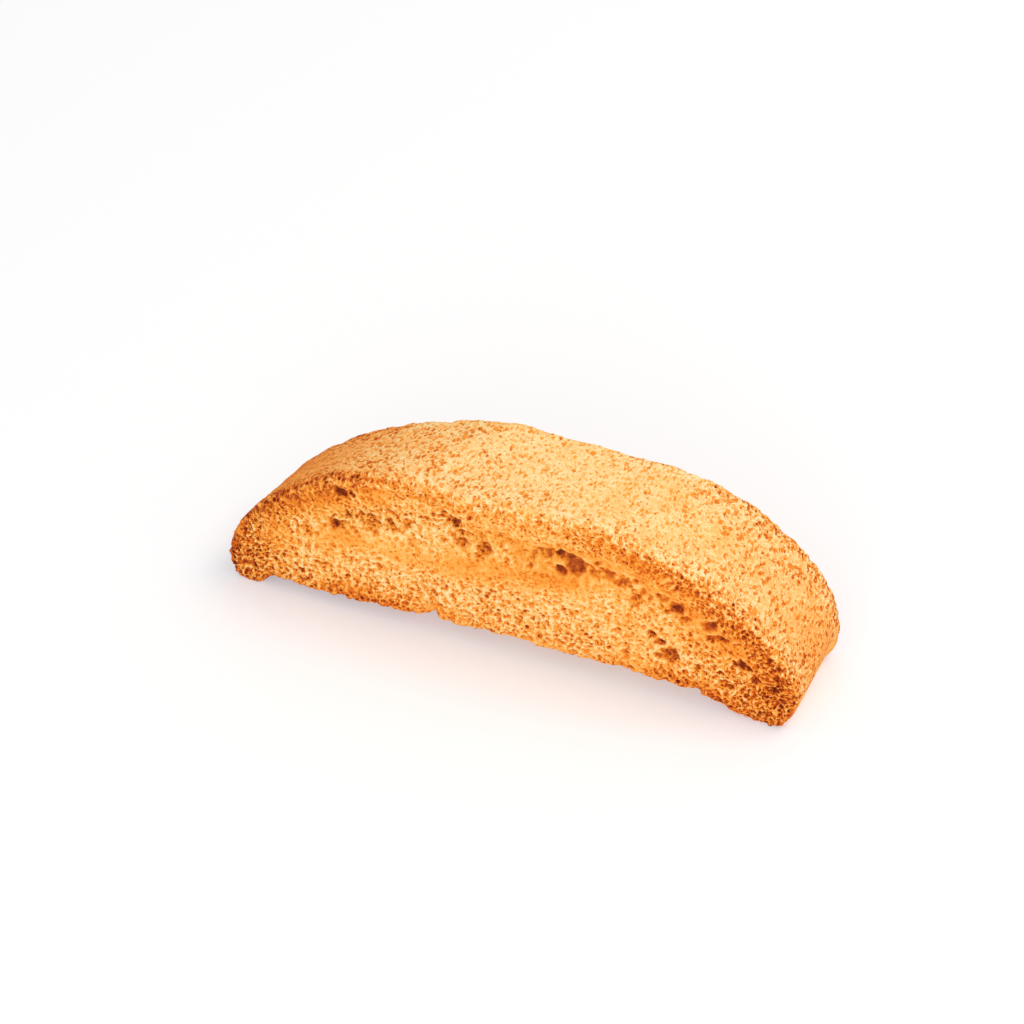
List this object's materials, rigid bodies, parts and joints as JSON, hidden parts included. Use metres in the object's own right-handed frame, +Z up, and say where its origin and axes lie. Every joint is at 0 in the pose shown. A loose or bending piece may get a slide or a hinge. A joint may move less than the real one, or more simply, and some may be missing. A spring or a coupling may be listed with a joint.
{
  "type": "biscotti slice",
  "caption": "Twice-baked egg biscuit slice, D-shaped, with a domed porous crust, two open-crumb cut faces and a gently arched base.",
  "frame": {"origin": "centre of the bounding box at the level of the two feet the slice rests on", "axes": "+X along the slice from its steeper end to its sloping end, +Y through its thickness from the front cut face to the back one, +Z up from the base to the crust"},
  "size_m": [0.1118, 0.0226, 0.0354],
  "materials": {
    "baked_crumb": "dry, matt, golden baked crumb, browner at the cut edges and the ends"
  },
  "bodies": {
    "root": {"biscotti_slice": "baked_crumb"}
  },
  "joints": []
}
